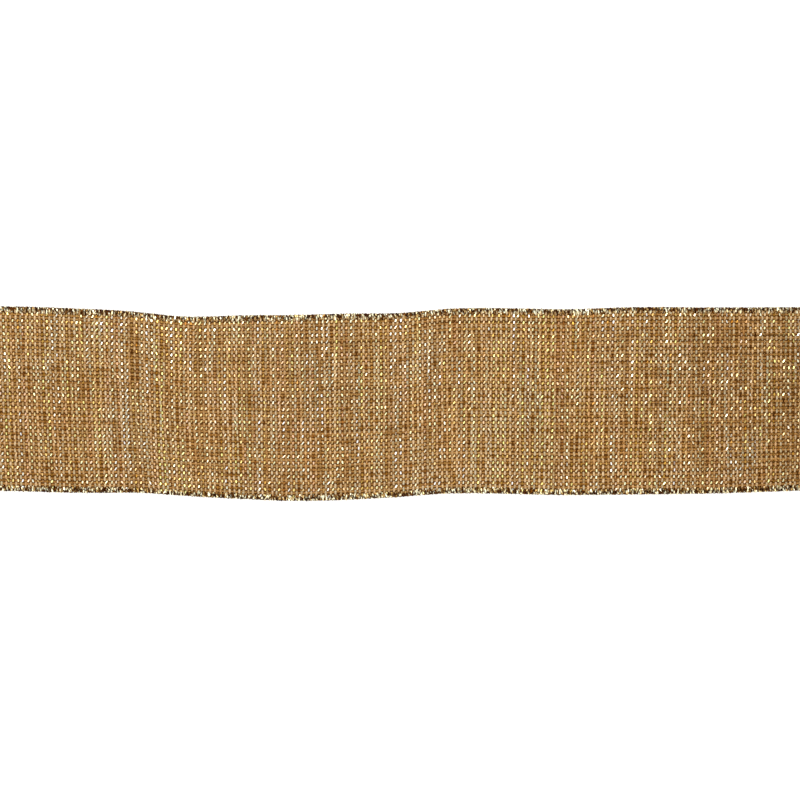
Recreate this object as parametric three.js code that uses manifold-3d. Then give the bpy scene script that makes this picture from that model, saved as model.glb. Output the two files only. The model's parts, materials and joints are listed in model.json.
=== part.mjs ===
// A roll of wired craft ribbon on a two-flange board reel, with its free end drawn out flat.
// Millimetres, +Z up. The reel turns about a line along Y, and the free end runs towards -X.
// The origin is on the ground, under the middle of the whole object.
import * as THREE from "three";
import { mergeVertices } from "three/addons/utils/BufferGeometryUtils.js";
import Module from "manifold-3d";

// Ribbon: 2.5 inches wide, 10 yards long
const RIBBON_WIDTH = 63.5;
const RIBBON_LENGTH = 9144;
const WRAP_PITCH = 0.95; // radius gained with each turn
const CLOTH_THICKNESS = 1.0;
const BORDER_WIDTH = 1.7;
const BORDER_THICKNESS = 1.1;
const WIRE_RADIUS = 0.25;
const WIRE_CLEARANCE = 0.1; // round the wire, inside its border
const SEAM_GAP = 0.2; // between the cloth and a border
const TURN_CLEARANCE = 1; // between the last turn, which stays still, and the turns under it
const CLOTH_WIDTH = RIBBON_WIDTH - 2 * (BORDER_WIDTH + SEAM_GAP);

// Reel: two board flanges on a paper tube, held by two moulded hub caps
const FLANGE_RADIUS = 60;
const FLANGE_THICKNESS = 2;
const FLANGE_EDGE = 0.4; // chamfer on the rim
const SIDE_PLAY = 0.75; // between the ribbon's edge and a flange
const FACE_PAPER_THICKNESS = 0.3;
const FACE_PAPER_RADIUS = FLANGE_RADIUS - 1.5;
const FACE_GAP = 0.1; // between glued flat faces
const TUBE_OUTER = 19;
const TUBE_INNER = 17.5;
const TAPE_THICKNESS = 0.3;
const TAPE_WIDTH = 48;
const TAPE_ARC = THREE.MathUtils.degToRad(70);

// Hub cap: a lip that clamps the flange, and a slotted collar that grips the tube
const LIP_RADIUS = 22.5;
const LIP_THICKNESS = 1.2;
const LIP_CHAMFER = 0.5;
const COLLAR_OUTER = 17.2;
const COLLAR_LENGTH = 13;
const BEAD_HEIGHT = 0.15; // of the snap bead round the collar
const BEAD_RISE = 1.2; // from the collar's tip to the bead, and from the bead to the plain collar
const TIP_TAPER = 0.5;
const BORE_RADIUS = 14;
const BORE_CHAMFER = 0.6;
const SLOT_WIDTH = 2.6;
const SLOT_DEPTH = 8;

// Blank paper label on the front face
const LABEL = { width: 36, height: 22, corner: 2, thickness: 0.2, drop: 42 };

// Where things are
const HALF_LENGTH = 216.8; // from the origin to either end of the whole object
const AXLE = new THREE.Vector3(HALF_LENGTH - FLANGE_RADIUS, 0, FLANGE_RADIUS);
const TAIL_LENGTH = HALF_LENGTH + AXLE.x;
const HALF_GAP = RIBBON_WIDTH / 2 + SIDE_PLAY; // to a flange's inner face
const FLANGE_FACE = HALF_GAP + FLANGE_THICKNESS; // to a flange's outer face
const PAPER_FACE = FLANGE_FACE + FACE_GAP + FACE_PAPER_THICKNESS;

// The roll's size follows from the length of ribbon that is wound on the tube.
const ROLL_INNER = TUBE_OUTER + TAPE_THICKNESS + 2 * SEAM_GAP;
const WOUND_LENGTH = RIBBON_LENGTH - TAIL_LENGTH;
const ROLL_OUTER = Math.sqrt(ROLL_INNER ** 2 + (WOUND_LENGTH * WRAP_PITCH) / Math.PI);
const LAST_TURN_RADIUS = ROLL_OUTER - WRAP_PITCH / 2; // to the middle of the cloth
const WOUND_RADIUS = LAST_TURN_RADIUS - CLOTH_THICKNESS / 2 - TURN_CLEARANCE; // under the last turn

const RING_SEGMENTS = 48;
const SWEEP_STEPS = 80;
const TAPE_ARC_STEPS = 8;
const LABEL_CORNER_STEPS = 3;
const BORDER_SIDES = 6;
const WIRE_SIDES = 4;

// Colours, roughness and metalness of each material
const BOARD = { color: 0xa18f75, roughness: 0.9, metalness: 0 };
const FACE_PAPER = { color: 0xccbfa8, roughness: 0.5, metalness: 0 };
const TUBE_PAPER = { color: 0x917859, roughness: 0.9, metalness: 0 };
const HUB_PLASTIC = { color: 0xd4d1c9, roughness: 0.45, metalness: 0 };
const TAPE = { color: 0xd6c79e, roughness: 0.35, metalness: 0 };
const LABEL_PAPER = { color: 0xdededb, roughness: 0.4, metalness: 0 };
const CLOTH = { color: 0xa48153, roughness: 0.7, metalness: 0.2 };
const TINSEL = { color: 0xd8c48a, roughness: 0.35, metalness: 0.9 };
const STEEL = { color: 0x8f8f8c, roughness: 0.4, metalness: 1 };

const wasm = await Module();
wasm.setup();

const ribbonEnd = new THREE.Group();
const reel = new THREE.Group();
reel.position.copy(AXLE);

function addPiece(parent, name, geometry, look) {
  const mesh = new THREE.Mesh(geometry, new THREE.MeshStandardMaterial(look));
  mesh.name = name;
  parent.add(mesh);
  return mesh;
}

function solidFrom(geometry) {
  const bare = geometry.clone();
  bare.deleteAttribute("normal");
  bare.deleteAttribute("uv");
  const merged = mergeVertices(bare, 1e-4);
  const vertProperties = new Float32Array(merged.attributes.position.array);
  const triVerts = new Uint32Array(merged.index.array);
  return new wasm.Manifold(new wasm.Mesh({ numProp: 3, vertProperties, triVerts }));
}

function geometryFrom(solid) {
  const mesh = solid.getMesh();
  const geometry = new THREE.BufferGeometry();
  geometry.setAttribute("position", new THREE.BufferAttribute(mesh.vertProperties, 3));
  geometry.setIndex(new THREE.BufferAttribute(mesh.triVerts, 1));
  return geometry;
}

// A body turned about Y from [radius, y] corners, which go round it with y rising on the outside.
function turned(corners) {
  const closed = [...corners, corners[0]];
  const profile = closed.map(([radius, y]) => new THREE.Vector2(radius, y));
  return new THREE.LatheGeometry(profile, RING_SEGMENTS);
}

function ring(inner, outer, low, high) {
  return turned([[inner, low], [outer, low], [outer, high], [inner, high]]);
}

// --- The ribbon's line: the drawn-out end, then once round the roll ---

// Middle of the cloth along the drawn-out end, from the cut to where it meets the roll: it lies
// on the ground in long shallow waves and wanders a little sideways.
const TAIL_POINTS = [
  [-HALF_LENGTH, 0.9, 2.2],
  [-190, 0.5, 4.8],
  [-163, -0.3, 4.6],
  [-133, -1.9, 1.3],
  [-92, -2.7, 6.4],
  [-55, -1.8, 3.6],
  [-30, -0.4, 3.2],
  [-8, -0.3, 5.4],
  [21, -0.4, 7.4],
  [50, -0.1, 4.4],
  [83, 0.3, 1.2],
  [118, 0.1, 1.5],
];

const LAST_TURN_STEP = THREE.MathUtils.degToRad(15);
const LAST_TURN_POINTS = 24; // the first is where the ribbon leaves the roll, the last at 345 degrees

class RibbonLine extends THREE.CatmullRomCurve3 {
  // The cloth is level across, so its width always runs along Y.
  computeFrenetFrames(steps) {
    const frames = { tangents: [], normals: [], binormals: [] };
    for (let i = 0; i <= steps; i++) {
      const tangent = this.getTangentAt(i / steps);
      const across = new THREE.Vector3(0, 1, 0);
      frames.tangents.push(tangent);
      frames.normals.push(across.clone().cross(tangent).normalize());
      frames.binormals.push(across);
    }
    return frames;
  }
}

function makeRibbonLine() {
  const points = TAIL_POINTS.map((p) => new THREE.Vector3(...p));
  for (let i = 0; i < LAST_TURN_POINTS; i++) {
    const angle = i * LAST_TURN_STEP;
    const x = AXLE.x + LAST_TURN_RADIUS * Math.sin(angle);
    const z = AXLE.z - LAST_TURN_RADIUS * Math.cos(angle);
    points.push(new THREE.Vector3(x, 0, z));
  }
  const line = new RibbonLine(points, false, "centripetal");
  line.arcLengthDivisions = 1600;
  return line;
}

const ribbonLine = makeRibbonLine();

function sweptAlongRibbon(shape) {
  const options = { steps: SWEEP_STEPS, extrudePath: ribbonLine, bevelEnabled: false };
  return new THREE.ExtrudeGeometry(shape, options);
}

// An n-sided outline across the ribbon's line: x is its thickness, y its width.
function oval(Kind, sides, thickness, width, middle) {
  const outline = new Kind();
  for (let i = 0; i < sides; i++) {
    const angle = ((i + 0.5) / sides) * 2 * Math.PI;
    const x = (thickness / 2) * Math.cos(angle);
    const y = middle + (width / 2) * Math.sin(angle);
    if (i === 0) outline.moveTo(x, y);
    else outline.lineTo(x, y);
  }
  outline.closePath();
  return outline;
}

function clothShape() {
  const [t, w] = [CLOTH_THICKNESS / 2, CLOTH_WIDTH / 2];
  const shape = new THREE.Shape();
  shape.moveTo(-t, -w).lineTo(t, -w).lineTo(t, w).lineTo(-t, w).closePath();
  return shape;
}

function borderShape(middle) {
  const acrossCorners = BORDER_THICKNESS / Math.cos(Math.PI / BORDER_SIDES);
  const shape = oval(THREE.Shape, BORDER_SIDES, acrossCorners, BORDER_WIDTH, middle);
  const hole = 2 * (WIRE_RADIUS + WIRE_CLEARANCE);
  shape.holes.push(oval(THREE.Path, WIRE_SIDES, hole, hole, middle));
  return shape;
}

function addRibbonEnd() {
  addPiece(ribbonEnd, "ribbon_cloth", sweptAlongRibbon(clothShape()), CLOTH);
  for (const [side, sign] of [["front", -1], ["rear", 1]]) {
    const middle = (sign * (RIBBON_WIDTH - BORDER_WIDTH)) / 2;
    addPiece(ribbonEnd, `${side}_border`, sweptAlongRibbon(borderShape(middle)), TINSEL);
    const wire = oval(THREE.Shape, WIRE_SIDES, 2 * WIRE_RADIUS, 2 * WIRE_RADIUS, middle);
    addPiece(ribbonEnd, `${side}_edge_wire`, sweptAlongRibbon(wire), STEEL);
  }
}

// --- The turns that are still wound on the reel ---

function addWoundRibbon() {
  const half = CLOTH_WIDTH / 2;
  addPiece(reel, "wound_cloth", ring(ROLL_INNER, WOUND_RADIUS, -half, half), CLOTH);
  for (const [side, sign] of [["front", -1], ["rear", 1]]) {
    const ends = [sign * (half + SEAM_GAP), (sign * RIBBON_WIDTH) / 2].sort((a, b) => a - b);
    addPiece(reel, `${side}_wound_border`, ring(ROLL_INNER, WOUND_RADIUS, ...ends), TINSEL);
  }
}

// --- The reel ---

// The front is made as the mirror of the rear by turning it half way round about Z.
function addOnBothSides(name, geometry, look) {
  addPiece(reel, `rear_${name}`, geometry, look);
  addPiece(reel, `front_${name}`, geometry, look).rotation.z = Math.PI;
}

function flangeGeometry() {
  const [r, e] = [FLANGE_RADIUS, FLANGE_EDGE];
  return turned([
    [TUBE_INNER, HALF_GAP],
    [r - e, HALF_GAP],
    [r, HALF_GAP + e],
    [r, FLANGE_FACE - e],
    [r - e, FLANGE_FACE],
    [TUBE_INNER, FLANGE_FACE],
  ]);
}

function hubCapGeometry() {
  const under = PAPER_FACE + FACE_GAP;
  const top = under + LIP_THICKNESS;
  const tip = under - COLLAR_LENGTH;
  const bead = COLLAR_OUTER + BEAD_HEIGHT;
  const cap = solidFrom(
    turned([
      [BORE_RADIUS, tip],
      [COLLAR_OUTER - TIP_TAPER, tip],
      [bead, tip + BEAD_RISE],
      [COLLAR_OUTER, tip + 2 * BEAD_RISE],
      [COLLAR_OUTER, under],
      [LIP_RADIUS, under],
      [LIP_RADIUS, top - LIP_CHAMFER],
      [LIP_RADIUS - LIP_CHAMFER, top],
      [BORE_RADIUS + BORE_CHAMFER, top],
      [BORE_RADIUS, top - BORE_CHAMFER],
    ]),
  );
  let slotted = cap;
  for (const turn of [Math.PI / 4, -Math.PI / 4]) {
    const slot = new THREE.BoxGeometry(3 * BORE_RADIUS, 2 * SLOT_DEPTH, SLOT_WIDTH);
    slot.rotateY(turn).translate(0, tip, 0);
    slotted = slotted.subtract(solidFrom(slot));
  }
  return geometryFrom(slotted);
}

// A strip of tape over part of the tube, which holds the ribbon's inner end.
function tapeGeometry() {
  const inner = TUBE_OUTER + SEAM_GAP;
  const shape = new THREE.Shape();
  shape.absarc(0, 0, inner + TAPE_THICKNESS, 0, TAPE_ARC, false);
  shape.absarc(0, 0, inner, TAPE_ARC, 0, true);
  shape.closePath();
  const options = { depth: TAPE_WIDTH, bevelEnabled: false, curveSegments: TAPE_ARC_STEPS };
  const geometry = new THREE.ExtrudeGeometry(shape, options);
  return geometry.translate(0, 0, -TAPE_WIDTH / 2).rotateX(-Math.PI / 2);
}

function labelGeometry() {
  const { width, height, corner, thickness, drop } = LABEL;
  const [x, y] = [width / 2, height / 2];
  const shape = new THREE.Shape();
  shape.absarc(x - corner, y - corner, corner, 0, Math.PI / 2, false);
  shape.absarc(corner - x, y - corner, corner, Math.PI / 2, Math.PI, false);
  shape.absarc(corner - x, corner - y, corner, Math.PI, 1.5 * Math.PI, false);
  shape.absarc(x - corner, corner - y, corner, 1.5 * Math.PI, 2 * Math.PI, false);
  const options = { depth: thickness, bevelEnabled: false, curveSegments: LABEL_CORNER_STEPS };
  const geometry = new THREE.ExtrudeGeometry(shape, options);
  return geometry.rotateX(Math.PI / 2).translate(0, -PAPER_FACE - FACE_GAP, -drop);
}

function addReel() {
  const paperIn = FLANGE_FACE + FACE_GAP;
  const facePaper = ring(TUBE_INNER, FACE_PAPER_RADIUS, paperIn, PAPER_FACE);
  const tubeEnd = HALF_GAP - FACE_GAP;
  addPiece(reel, "core_tube", ring(TUBE_INNER, TUBE_OUTER, -tubeEnd, tubeEnd), TUBE_PAPER);
  addPiece(reel, "anchor_tape", tapeGeometry(), TAPE);
  addOnBothSides("flange", flangeGeometry(), BOARD);
  addOnBothSides("face_paper", facePaper, FACE_PAPER);
  addOnBothSides("hub_cap", hubCapGeometry(), HUB_PLASTIC);
  addPiece(reel, "blank_label", labelGeometry(), LABEL_PAPER);
}

addRibbonEnd();
addWoundRibbon();
addReel();

const ribbonSpool = new THREE.Group();
ribbonSpool.add(ribbonEnd, reel);

export default ribbonSpool;
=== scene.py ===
"""A spool of wired, burlap-look metallic ribbon with its free end drawn out flat.

The ribbon is woven yarn by yarn: warp yarns run its length, and the picks across it are tan yarn
and metallic tinsel by turns. All lengths here are millimetres until a mesh is made.
"""

import json
import math

import bpy
import numpy as np
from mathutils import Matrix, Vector


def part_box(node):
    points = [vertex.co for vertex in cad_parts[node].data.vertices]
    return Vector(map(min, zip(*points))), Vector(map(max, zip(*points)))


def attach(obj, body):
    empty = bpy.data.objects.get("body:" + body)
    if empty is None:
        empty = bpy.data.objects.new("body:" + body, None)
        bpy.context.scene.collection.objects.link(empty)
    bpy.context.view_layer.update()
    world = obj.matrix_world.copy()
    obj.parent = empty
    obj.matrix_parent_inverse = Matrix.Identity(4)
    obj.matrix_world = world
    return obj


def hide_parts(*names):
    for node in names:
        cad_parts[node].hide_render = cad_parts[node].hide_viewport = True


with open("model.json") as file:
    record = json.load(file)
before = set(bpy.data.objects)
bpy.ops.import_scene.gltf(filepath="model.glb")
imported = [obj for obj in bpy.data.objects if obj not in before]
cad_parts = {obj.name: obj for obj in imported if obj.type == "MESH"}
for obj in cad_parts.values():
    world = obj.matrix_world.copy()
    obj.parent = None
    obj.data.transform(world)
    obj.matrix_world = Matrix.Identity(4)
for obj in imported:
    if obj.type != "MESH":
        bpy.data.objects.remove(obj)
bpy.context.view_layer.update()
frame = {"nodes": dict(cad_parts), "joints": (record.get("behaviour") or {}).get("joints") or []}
MM = 0.001
TURN = 2 * math.pi

# ---------------------------------------------------------------- sizes from the frame


def node_box(name):
    """Lowest and highest corner of a CAD node, in millimetres."""
    low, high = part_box(name)
    return np.array(low) / MM, np.array(high) / MM


AXLE = np.array(frame["joints"][0]["pos_m"]) / MM
CLOTH_LOW, CLOTH_HIGH = node_box("ribbon_cloth")
HALF_WIDTH = node_box("rear_wound_border")[1][1]
BORDER_WIDTH = HALF_WIDTH - node_box("rear_wound_border")[0][1]
CUT_END_X = CLOTH_LOW[0]
CLOTH_HALF_THICKNESS = 0.5  # of the CAD node
LAST_TURN_RADIUS = CLOTH_HIGH[2] - AXLE[2] - CLOTH_HALF_THICKNESS
WOUND_RADIUS = node_box("wound_cloth")[1][2] - AXLE[2]
TUBE_OUTER = node_box("core_tube")[1][2] - AXLE[2]
FLANGE_LOW, FLANGE_HIGH = node_box("rear_flange")
FLANGE_RADIUS = FLANGE_HIGH[2] - AXLE[2]

# ---------------------------------------------------------------- the ribbon's lie

WRAP_PITCH = 0.95  # radius gained with each turn
LAST_TURN_MEAN_RADIUS = LAST_TURN_RADIUS - WRAP_PITCH / 2
ROLL_BOTTOM = AXLE[2] - LAST_TURN_RADIUS
ROUTE_SAMPLES = 4000
FRAME_STEP = 0.2  # either side of a point, to find the ribbon's directions there

# Height of the free end's edges above the floor along it: (x, z). It leaves the roll level.
ROUTE = [
    (CUT_END_X, 2.2), (-190, 4.8), (-163, 4.6), (-133, 1.3), (-92, 6.4), (-55, 3.6), (-30, 3.2),
    (-8, 5.4), (21, 7.4), (50, 4.4), (83, 1.2), (118, 1.5), (AXLE[0] - 8, ROLL_BOTTOM - 0.1),
    (AXLE[0], ROLL_BOTTOM),
]
# How far the middle stands above the two edges: (x, rise)
CROWN = [
    (CUT_END_X, 0.3), (-185, 0.8), (-150, 2.2), (-128, 3.6), (-105, 1.2), (-60, 0.6), (-10, 0.5),
    (40, 0.2), (90, 0.4), (125, 0.3), (AXLE[0], 0.0),
]
# The two edges as they wander sideways: (x, front y, rear y)
EDGES = [
    (CUT_END_X, -31.1, 32.4), (-192, -31.2, 32.2), (-178, -31.5, 31.9), (-161, -31.9, 31.3),
    (-144, -32.1, 30.4), (-130, -33.1, 29.0), (-109, -34.0, 29.1), (-92, -34.5, 29.1),
    (-68, -34.0, 29.7), (-54, -33.3, 30.0), (-41, -32.4, 31.2), (-20, -32.2, 31.6),
    (4, -32.5, 31.1), (21, -32.3, 31.6), (48, -32.2, 31.8), (69, -31.8, 32.0), (83, -31.4, 32.1),
    (118, -31.65, 31.85), (AXLE[0], -HALF_WIDTH, HALF_WIDTH),
]
# How far the rear end of a pick lies towards +X of its front end, halved: (x, lean)
LEAN = [
    (CUT_END_X, -0.9), (-170, -1.1), (-120, -0.6), (-60, -0.2), (0, 0.4), (60, 0.2), (110, 0.0),
    (AXLE[0], 0.0),
]


def smooth_curve(knots):
    """A natural cubic spline through (x, value) knots, as a function of an array of x."""
    x, y = np.array(knots, float).T[:2]
    step, slope = np.diff(x), np.diff(y) / np.diff(x)
    count = len(x)
    matrix, target = np.eye(count), np.zeros(count)
    for i in range(1, count - 1):
        matrix[i, i - 1:i + 2] = step[i - 1], 2 * (step[i - 1] + step[i]), step[i]
        target[i] = 6 * (slope[i] - slope[i - 1])
    bend = np.linalg.solve(matrix, target)

    def value(at):
        at = np.clip(at, x[0], x[-1])
        i = np.clip(np.searchsorted(x, at, side="right") - 1, 0, count - 2)
        h, left, right = step[i], x[i + 1] - at, at - x[i]
        curved = (bend[i] * left**3 + bend[i + 1] * right**3) / (6 * h)
        from_left = (y[i] / h - bend[i] * h / 6) * left
        from_right = (y[i + 1] / h - bend[i + 1] * h / 6) * right
        return curved + from_left + from_right

    return value


route_z = smooth_curve(ROUTE)
crown = smooth_curve(CROWN)
front_edge = smooth_curve(EDGES)
rear_edge = smooth_curve([(x, rear) for x, _, rear in EDGES])
lean = smooth_curve(LEAN)

ROUTE_X = np.linspace(CUT_END_X, AXLE[0], ROUTE_SAMPLES)
ROUTE_S = np.concatenate([[0], np.cumsum(np.hypot(np.diff(ROUTE_X), np.diff(route_z(ROUTE_X))))])
TAIL_LENGTH = ROUTE_S[-1]
RIBBON_LENGTH = TAIL_LENGTH + TURN * LAST_TURN_MEAN_RADIUS


def tail_point(s, v):
    """A point of the free end: s along the ribbon from the cut, v across it from -1 (front) to 1."""
    inside = np.clip(s, 0, TAIL_LENGTH)
    x = np.interp(inside, ROUTE_S, ROUTE_X)
    rear_share = (v + 1) / 2
    y = front_edge(x) * (1 - rear_share) + rear_edge(x) * rear_share
    z = route_z(x) + crown(x) * (1 - v * v)
    return np.stack([x + lean(x) * v + (s - inside), y, z], -1)


def turn_point(s, v):
    """A point of the last turn, counted from where the free end leaves the roll's lowest side."""
    angle = (s - TAIL_LENGTH) / LAST_TURN_MEAN_RADIUS
    radius = LAST_TURN_RADIUS - WRAP_PITCH * angle / TURN
    x = AXLE[0] + radius * np.sin(angle)
    z = AXLE[2] - radius * np.cos(angle)
    return np.stack([x, v * HALF_WIDTH, z], -1)


def ribbon_point(s, v):
    """A point of the ribbon, on its free end or on its last turn."""
    s, v = np.broadcast_arrays(np.asarray(s, float), np.asarray(v, float))
    on_tail = (s < TAIL_LENGTH)[..., None]
    return np.where(on_tail, tail_point(s, v), turn_point(s, v))


def unit(a):
    """The directions of an array of vectors."""
    return a / np.linalg.norm(a, axis=-1, keepdims=True)


def ribbon_frame(s, v):
    """Point, direction along, direction across (to the rear) and normal (up) of the ribbon."""
    step_v = FRAME_STEP / HALF_WIDTH
    along = unit(ribbon_point(s + FRAME_STEP, v) - ribbon_point(s - FRAME_STEP, v))
    across = ribbon_point(s, v + step_v) - ribbon_point(s, v - step_v)
    normal = unit(np.cross(along, across))
    return ribbon_point(s, v), along, np.cross(normal, along), normal


# ---------------------------------------------------------------- mesh building


class Strands:
    """Collects swept strands into one mesh, each closed at both ends."""

    def __init__(self):
        self.points, self.tints = [], []
        self.quads, self.uvs = [], []
        self.caps, self.cap_sizes = [], []
        self.count = 0

    def add(self, centre, side, up, half_width, half_height, sides, tint=None, flat=False):
        """centre, side and up are (strand, ring, 3); half sizes broadcast to (strand, ring)."""
        strands, rings = centre.shape[:2]
        first_corner = 0.5 if flat else 0.0
        angle = (TURN * (np.arange(sides) + first_corner) / sides)[:, None]
        width = np.broadcast_to(half_width, (strands, rings))[..., None, None]
        height = np.broadcast_to(half_height, (strands, rings))[..., None, None]
        ring = np.cos(angle) * width * side[:, :, None] + np.sin(angle) * height * up[:, :, None]
        self.points.append((centre[:, :, None] + ring).reshape(-1, 3))
        index = self.count + np.arange(strands * rings * sides).reshape(strands, rings, sides)
        following = np.roll(index, -1, 2)
        quads = [index[:, :-1], following[:, :-1], following[:, 1:], index[:, 1:]]
        self.quads.append(np.stack(quads, -1).reshape(-1, 4))
        self.caps.append(np.concatenate([index[:, 0, ::-1], index[:, -1]]).reshape(-1))
        self.cap_sizes.append(np.full(2 * strands, sides))
        self.uvs.append(self.strand_uvs(centre, sides))
        if tint is None:
            tint = np.ones((strands, rings, 3))
        tint = np.broadcast_to(np.clip(tint, 0, 1)[:, :, None], (strands, rings, sides, 3))
        tint = tint.reshape(-1, 3)
        self.tints.append(np.concatenate([tint, np.ones((len(tint), 1))], 1))
        self.count += strands * rings * sides

    def strand_uvs(self, centre, sides):
        """Millimetres along each strand, and once round it, at the corners of each quad."""
        strands, rings = centre.shape[:2]
        run = np.linalg.norm(np.diff(centre, axis=1), axis=-1)
        run = np.concatenate([np.zeros((strands, 1)), np.cumsum(run, 1)], 1)[:, :, None]
        run = np.broadcast_to(run, (strands, rings, sides))
        low = np.broadcast_to(np.arange(sides) / sides, run.shape)
        high = low + 1 / sides
        u = np.stack([run[:, :-1], run[:, :-1], run[:, 1:], run[:, 1:]], -1)
        w = np.stack([low[:, :-1], high[:, :-1], high[:, 1:], low[:, 1:]], -1)
        return np.stack([u, w], -1).reshape(-1, 2)

    def build(self, name, material, smooth_angle):
        """One object of all the strands, with their tints as its colour attribute."""
        quads = np.concatenate(self.quads)
        caps = np.concatenate(self.caps)
        cap_sizes = np.concatenate(self.cap_sizes)
        loops = np.concatenate([quads.reshape(-1), caps])
        sizes = np.concatenate([np.full(len(quads), 4), cap_sizes])
        uvs = np.concatenate([np.concatenate(self.uvs), np.zeros((len(caps), 2))])
        mesh = mesh_from(name, np.concatenate(self.points), loops, sizes, uvs)
        colours = mesh.color_attributes.new("tint", "FLOAT_COLOR", "POINT")
        colours.data.foreach_set("color", np.concatenate(self.tints).astype(np.float32).reshape(-1))
        return finish_piece(name, mesh, material, smooth_angle)


def mesh_from(name, points, loops, sizes, uvs=None):
    """A mesh of points in millimetres, from the corners of its faces and how many each face has."""
    mesh = bpy.data.meshes.new(name)
    mesh.vertices.add(len(points))
    mesh.vertices.foreach_set("co", (points * MM).astype(np.float32).reshape(-1))
    mesh.loops.add(len(loops))
    mesh.loops.foreach_set("vertex_index", loops.astype(np.int32))
    mesh.polygons.add(len(sizes))
    starts = np.concatenate([[0], np.cumsum(sizes)[:-1]])
    mesh.polygons.foreach_set("loop_start", starts.astype(np.int32))
    mesh.update(calc_edges=True)
    mesh.validate()
    if uvs is not None:
        layer = mesh.uv_layers.new(name="UVMap")
        layer.data.foreach_set("uv", uvs.astype(np.float32).reshape(-1))
    return mesh


def finish_piece(name, mesh, material, smooth_angle):
    """An object of the mesh, shaded smooth but for edges sharper than an angle in degrees."""
    mesh.materials.append(material)
    piece = bpy.data.objects.new(name, mesh)
    bpy.context.scene.collection.objects.link(piece)
    mesh.shade_smooth()
    if smooth_angle < 180:
        mesh.set_sharp_from_angle(angle=math.radians(smooth_angle))
    return piece


def place(piece, body, slot, *nodes):
    """The piece rides on a body and stands for the nodes, which it hides. The slot is not used."""
    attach(piece, body)
    if nodes:
        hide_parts(*nodes)
    return piece


def drift(rng, shape, every, size):
    """Slow random wander along the last axis: a new random value at every so many samples."""
    knots = rng.normal(0, size, (*shape[:-1], shape[-1] // every + 3))
    at = np.arange(shape[-1]) / every
    i = at.astype(int)
    share = at - i
    share = share * share * (3 - 2 * share)
    return knots[..., i] * (1 - share) + knots[..., i + 1] * share


# ---------------------------------------------------------------- materials


class Nodes:
    """Short calls for building a material's nodes."""

    def __init__(self, name):
        self.material = bpy.data.materials.new(name)
        self.material.use_nodes = True
        self.tree = self.material.node_tree
        self.shader = self.tree.nodes["Principled BSDF"]

    def node(self, kind, **inputs):
        """A new node with its named inputs fed."""
        made = self.tree.nodes.new(kind)
        for name, value in inputs.items():
            self.feed(made.inputs[name.replace("_", " ")], value)
        return made

    def feed(self, socket, value):
        """Links an output to the socket, or sets the socket's own value."""
        if isinstance(value, bpy.types.NodeSocket):
            self.tree.links.new(value, socket)
        else:
            socket.default_value = value

    def set(self, **inputs):
        """Feeds the shader's named inputs."""
        for name, value in inputs.items():
            self.feed(self.shader.inputs[name.replace("_", " ")], value)

    def stretched(self, along, around):
        """The strand's own coordinates: millimetres along it, and once round it, scaled."""
        uv = self.node("ShaderNodeUVMap")
        mapped = self.node("ShaderNodeMapping", Vector=uv.outputs["UV"])
        mapped.inputs["Scale"].default_value = (along, around, 1)
        return mapped.outputs["Vector"]

    def place(self, scale=(1 / MM, 1 / MM, 1 / MM)):
        """Object coordinates, in millimetres unless scaled otherwise."""
        at = self.node("ShaderNodeTexCoord")
        mapped = self.node("ShaderNodeMapping", Vector=at.outputs["Object"])
        mapped.inputs["Scale"].default_value = scale
        return mapped.outputs["Vector"]

    def noise(self, vector, scale=1.0, detail=3.0, roughness=0.55):
        """Smooth random values from about 0.3 to 0.7."""
        made = self.node("ShaderNodeTexNoise", Vector=vector, Scale=scale, Detail=detail)
        made.inputs["Roughness"].default_value = roughness
        return made.outputs["Fac"]

    def ramp(self, value, low, high, to_low, to_high):
        """Stretches values between low and high to those between to_low and to_high."""
        made = self.node("ShaderNodeMapRange", Value=value)
        names = ("From Min", "From Max", "To Min", "To Max")
        for name, number in zip(names, (low, high, to_low, to_high)):
            made.inputs[name].default_value = number
        return made.outputs["Result"]

    def math(self, operation, kind, a, b):
        """A vector or plain math node on two inputs."""
        made = self.tree.nodes.new(kind)
        made.operation = operation
        self.feed(made.inputs[0], a)
        self.feed(made.inputs[1], b)
        return made

    def mix(self, factor, a, b, blend="MIX"):
        """A colour between a and b."""
        made = self.tree.nodes.new("ShaderNodeMix")
        made.data_type = "RGBA"
        made.blend_type = blend
        self.feed(made.inputs[0], factor)
        self.feed(made.inputs[6], a)
        self.feed(made.inputs[7], b)
        return made.outputs[2]

    def tint(self):
        """The colour that each strand carries along it."""
        made = self.tree.nodes.new("ShaderNodeVertexColor")
        made.layer_name = "tint"
        return made.outputs["Color"]

    def bump(self, height, strength, distance):
        """Relief of a height map, its distance in millimetres."""
        made = self.node("ShaderNodeBump", Height=height, Strength=strength, Distance=distance * MM)
        self.feed(self.shader.inputs["Normal"], made.outputs["Normal"])


def rgb(red, green, blue):
    return (red, green, blue, 1)


PATCH_SCALE = 0.055  # of the slow patches in the yarns' colour: one in about 18 mm
PATCH_TINT = rgb(0.95, 0.78, 0.53)
SCUFF_SCALES = (150, 1000, 2600)  # scuffs run along X


def yarn_material(name, pale, deep, sheen):
    """Spun yarn: short fibres, paler and deeper by turns, and slow patches of a warmer tone."""
    m = Nodes(name)
    fibres = m.noise(m.stretched(1.3, 4.5), 1.0, 4)
    patches = m.noise(m.place(), PATCH_SCALE, 2)
    colour = m.mix(m.ramp(fibres, 0.36, 0.64, 0, 1), deep, pale)
    colour = m.mix(m.ramp(patches, 0.35, 0.65, 0, 0.55), colour, PATCH_TINT, "MULTIPLY")
    m.set(Base_Color=m.mix(1.0, colour, m.tint(), "MULTIPLY"))
    m.set(Roughness=m.ramp(fibres, 0.3, 0.7, 0.62, 0.82), Sheen_Weight=sheen, Sheen_Roughness=0.4)
    m.set(Specular_IOR_Level=0.1)
    m.bump(fibres, 0.5, 0.05)
    return m.material


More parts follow.
